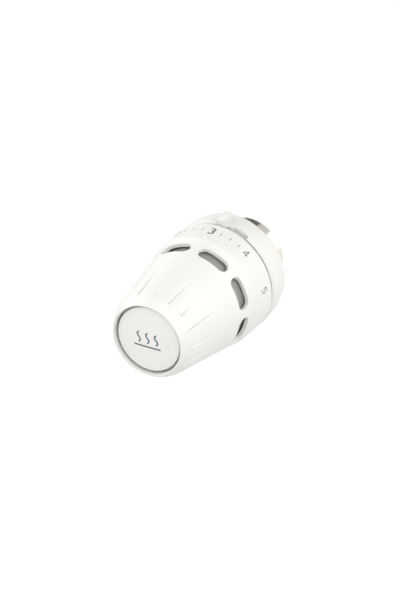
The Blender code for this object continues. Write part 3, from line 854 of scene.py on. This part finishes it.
def make_sleeve():
    """The ribbed setting sleeve, which follows the handle's cone, with its eight keyways."""
    net = Net()
    ribs, per_rib = 160, 4
    front, rear = sleeve_low.y, sleeve_high.y
    spline_rear, clearance, rib_height = -33.6, 0.8, 0.12
    keyway_floor, keyway_half = 19.2, 1.55
    screw, screw_bore, capsule_bore, capsule_rear = 17.6, 14.6, 18.0, -42.9
    clip_floor, clip_front, clip_rear = 18.5, -48.1, -46.7
    angles = full_turn(ribs * per_rib)

    def outside(angle, y):
        nearest = round(angle / SECTOR) * SECTOR
        if abs(math.radians(angle - nearest)) * sleeve_high.x < keyway_half:
            return keyway_floor
        valley = 0.5 - 0.5 * math.cos(math.radians(angle * ribs))
        return shell_radius(min(y, CONE_REAR)) - WALL - clearance - rib_height * valley

    def ribbed_row(y, shrink=0.0):
        return net.row([at(outside(a, y) - shrink, y, a) for a in angles])

    rows = [ribbed_row(y) for y in (front + 0.3, front + 6.0, -42.0, -37.0, CONE_REAR, spline_rear - 0.2)]
    rows.append(ribbed_row(spline_rear, shrink=0.2))
    rows += net.rings([
        (screw + 0.2, spline_rear), (screw, spline_rear + 0.2), (screw, rear - 0.4), (screw - 0.4, rear),
        (screw_bore + 0.3, rear), (screw_bore, rear - 0.3), (screw_bore, capsule_rear),
        (capsule_bore, capsule_rear), (capsule_bore, clip_rear), (clip_floor, clip_rear),
        (clip_floor, clip_front), (capsule_bore, clip_front), (capsule_bore, front + 0.2),
        (capsule_bore + 0.2, front),
    ], angles)
    rows.append(ribbed_row(front, shrink=0.3))
    net.skin(rows, closed=True)
    sleeve = make_piece("ribbed_sleeve", net, "setting_carriage", GREY)
    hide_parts("setting_sleeve")


def make_coil(name, node, coil_radius, wire_radius, turns, body):
    """A compression spring with closed end turns."""
    low, high = node_box(node)
    front, rear = low.y + wire_radius, high.y - wire_radius
    per_turn, sides = 40, 12
    closed_pitch = wire_radius * 2.3
    open_pitch = (rear - front - 2 * closed_pitch) / (turns - 2)
    sections = []
    for turn in np.linspace(0.0, turns, turns * per_turn + 1):
        closed_turns = min(turn, 1.0) + max(turn - turns + 1.0, 0.0)
        y = front + closed_pitch * closed_turns + open_pitch * (turn - closed_turns)
        section = []
        for a in np.radians(full_turn(sides)):
            radius = coil_radius + wire_radius * math.cos(a)
            section.append(at(radius, y + wire_radius * math.sin(a), 360.0 * turn))
        sections.append(section)
    coil = make_piece(name, loft(sections), body, STEEL, sharp=60.0)
    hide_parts(node)
    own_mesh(coil)


def make_bellows():
    """Thin-walled bellows with round folds."""
    low, high = node_box("bellows")
    folds, wall = 7, 0.5
    crest, root = high.x, 8.8
    middle, swing = (crest + root) / 2, (crest - root) / 2
    end_gap = 0.02
    ys = np.linspace(low.y + end_gap, high.y - end_gap, folds * 24 + 1)
    turns = np.linspace(0.0, math.tau * folds, len(ys))
    outside = [(middle - swing * math.cos(turn), y) for turn, y in zip(turns, ys)]
    inside = [(radius - wall, y) for radius, y in reversed(outside)]
    net = turned(outside + inside)
    bellows = make_piece("folded_bellows", net, "setting_carriage", BRASS, sharp=60.0)
    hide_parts("bellows")
    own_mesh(bellows)


def finish_cad_nodes():
    """Pieces whose CAD shape is right keep it and get a finished material."""
    finishes = {
        BRASS: ("pin_guide_bush", "bellows_cup", "capsule_base"),
        COPPER: ("sensor_capsule", "capsule_fill_stub"),
        STEEL: (
            "capsule_clip_ring", "handle_clip_ring", "nut_snap_ring", "cup_clip_ring",
            "push_rod", "thrust_washer", "pressure_pin",
        ),
        LIGHT_GREY: ("overtravel_cup",),
        BLUE: ("limit_pin_low",),
        RED: ("limit_pin_high",),
    }
    for material, nodes in finishes.items():
        for node in nodes:
            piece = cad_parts[node]
            piece.data.materials.clear()
            piece.data.materials.append(material)
            shade(piece.data)


# ---------------------------------------------------------------- stage, light and camera

def make_stage():
    """A wide pale floor under the head, in metres."""
    floor_z = cad_low.z - 0.3
    half = 8.0
    mesh = bpy.data.meshes.new("floor")
    corners = [(x * half, y * half, floor_z) for x, y in ((-1, -1), (1, -1), (1, 1), (-1, 1))]
    mesh.from_pydata(corners, [], [(0, 1, 2, 3)])
    material, tree, shader = new_material("floor", (0.635, 0.635, 0.635), 0.9)
    vary_roughness(tree, shader, add_noise(tree, 3.0), 0.85, 0.95)
    shader.inputs["Specular IOR Level"].default_value = 0.0
    mesh.materials.append(material)
    floor = bpy.data.objects.new("floor", mesh)
    bpy.context.scene.collection.objects.link(floor)


def add_strip_ramp(tree, share, strips, interpolation):
    """Light strips that run along Y, from (degrees about Y, brightness) stops."""
    ramp = tree.nodes.new("ShaderNodeValToRGB")
    ramp.color_ramp.interpolation = interpolation
    elements = ramp.color_ramp.elements
    while len(elements) < len(strips):
        elements.new(0.5)
    for element, (angle, level) in zip(elements, strips):
        element.position = (angle + 180.0) / 360.0
        tint = level / STUDIO_LEVEL
        element.color = (tint, tint * 0.995, tint * 0.985, 1.0)
    tree.links.new(share, ramp.inputs["Fac"])
    return ramp.outputs["Color"]


def make_world():
    """A white studio of long soft boxes that lie along Y. Darker flags take their place behind the nut."""
    world = bpy.data.worlds.new("studio")
    bpy.context.scene.world = world
    world.use_nodes = True
    tree = world.node_tree
    background = tree.nodes["Background"]
    background.inputs["Strength"].default_value = STUDIO_LEVEL
    coordinates = tree.nodes.new("ShaderNodeTexCoord")
    direction = tree.nodes.new("ShaderNodeSeparateXYZ")
    tree.links.new(coordinates.outputs["Generated"], direction.inputs["Vector"])
    around = tree.nodes.new("ShaderNodeMath")
    around.operation = "ARCTAN2"
    tree.links.new(direction.outputs["X"], around.inputs[0])
    tree.links.new(direction.outputs["Z"], around.inputs[1])
    share = tree.nodes.new("ShaderNodeMapRange")
    share.inputs["From Min"].default_value = -math.pi
    share.inputs["From Max"].default_value = math.pi
    tree.links.new(around.outputs["Value"], share.inputs["Value"])
    boxes = [(-175, 1.1), (-100, 1.2), (-65, 3.2), (-20, 0.45), (15, 1.65), (45, 2.9), (72, 2.75), (88, 0.5)]
    boxes.append((93, 1.1))
    flags = [(-180, 1.1), (-63, 0.15), (-5, 0.68), (34, 1.4), (171, 1.0)]
    everywhere = add_strip_ramp(tree, share.outputs["Result"], boxes, "EASE")
    behind = add_strip_ramp(tree, share.outputs["Result"], flags, "CONSTANT")
    rear = tree.nodes.new("ShaderNodeMapRange")
    rear.interpolation_type = "SMOOTHSTEP"
    rear.inputs["From Min"].default_value = 0.60
    rear.inputs["From Max"].default_value = 0.66
    tree.links.new(direction.outputs["Y"], rear.inputs["Value"])
    mix = tree.nodes.new("ShaderNodeMix")
    mix.data_type = "RGBA"
    tree.links.new(rear.outputs["Result"], mix.inputs["Factor"])
    tree.links.new(everywhere, mix.inputs["A"])
    tree.links.new(behind, mix.inputs["B"])
    tree.links.new(mix.outputs["Result"], background.inputs["Color"])


def make_camera():
    """A long lens, 30 degrees to the right of the head's axis and 30 degrees above it."""
    azimuth, elevation = math.radians(30), math.radians(30)
    back = Vector((
        math.sin(azimuth) * math.cos(elevation),
        -math.cos(azimuth) * math.cos(elevation),
        math.sin(elevation),
    ))
    up = back.cross(Vector((math.cos(azimuth), math.sin(azimuth), 0.0)))
    data = bpy.data.cameras.new("camera")
    data.lens = 1000.0
    data.sensor_width = 36.0
    view_height = 0.2545
    distance = view_height * data.lens / data.sensor_width
    data.clip_end = 20.0
    camera = bpy.data.objects.new("camera", data)
    target = Vector((0.0, LIP_FRONT + 44.9, 0.0)) * MM - up * 2.2 * MM
    camera.location = target + back * distance
    camera.rotation_mode = "QUATERNION"
    camera.rotation_quaternion = back.to_track_quat("Z", "Y")
    bpy.context.scene.collection.objects.link(camera)
    bpy.context.scene.camera = camera


bpy.context.scene.view_settings.view_transform = "Standard"
make_camera()
make_stage()
make_world()

make_handle()
make_drive_ribs()
make_tactile_dot()
make_end_cap()
make_cap_mark()
make_scale()
make_collar()
make_window_insert()
make_pointer()
make_base()
make_nut()
make_sleeve()
make_coil("return_coil", "return_spring", 6.4, 0.45, 6, "setting_carriage")
make_coil("overtravel_coil", "overtravel_spring", 5.4, 0.55, 5, "rod")
make_bellows()
finish_cad_nodes()
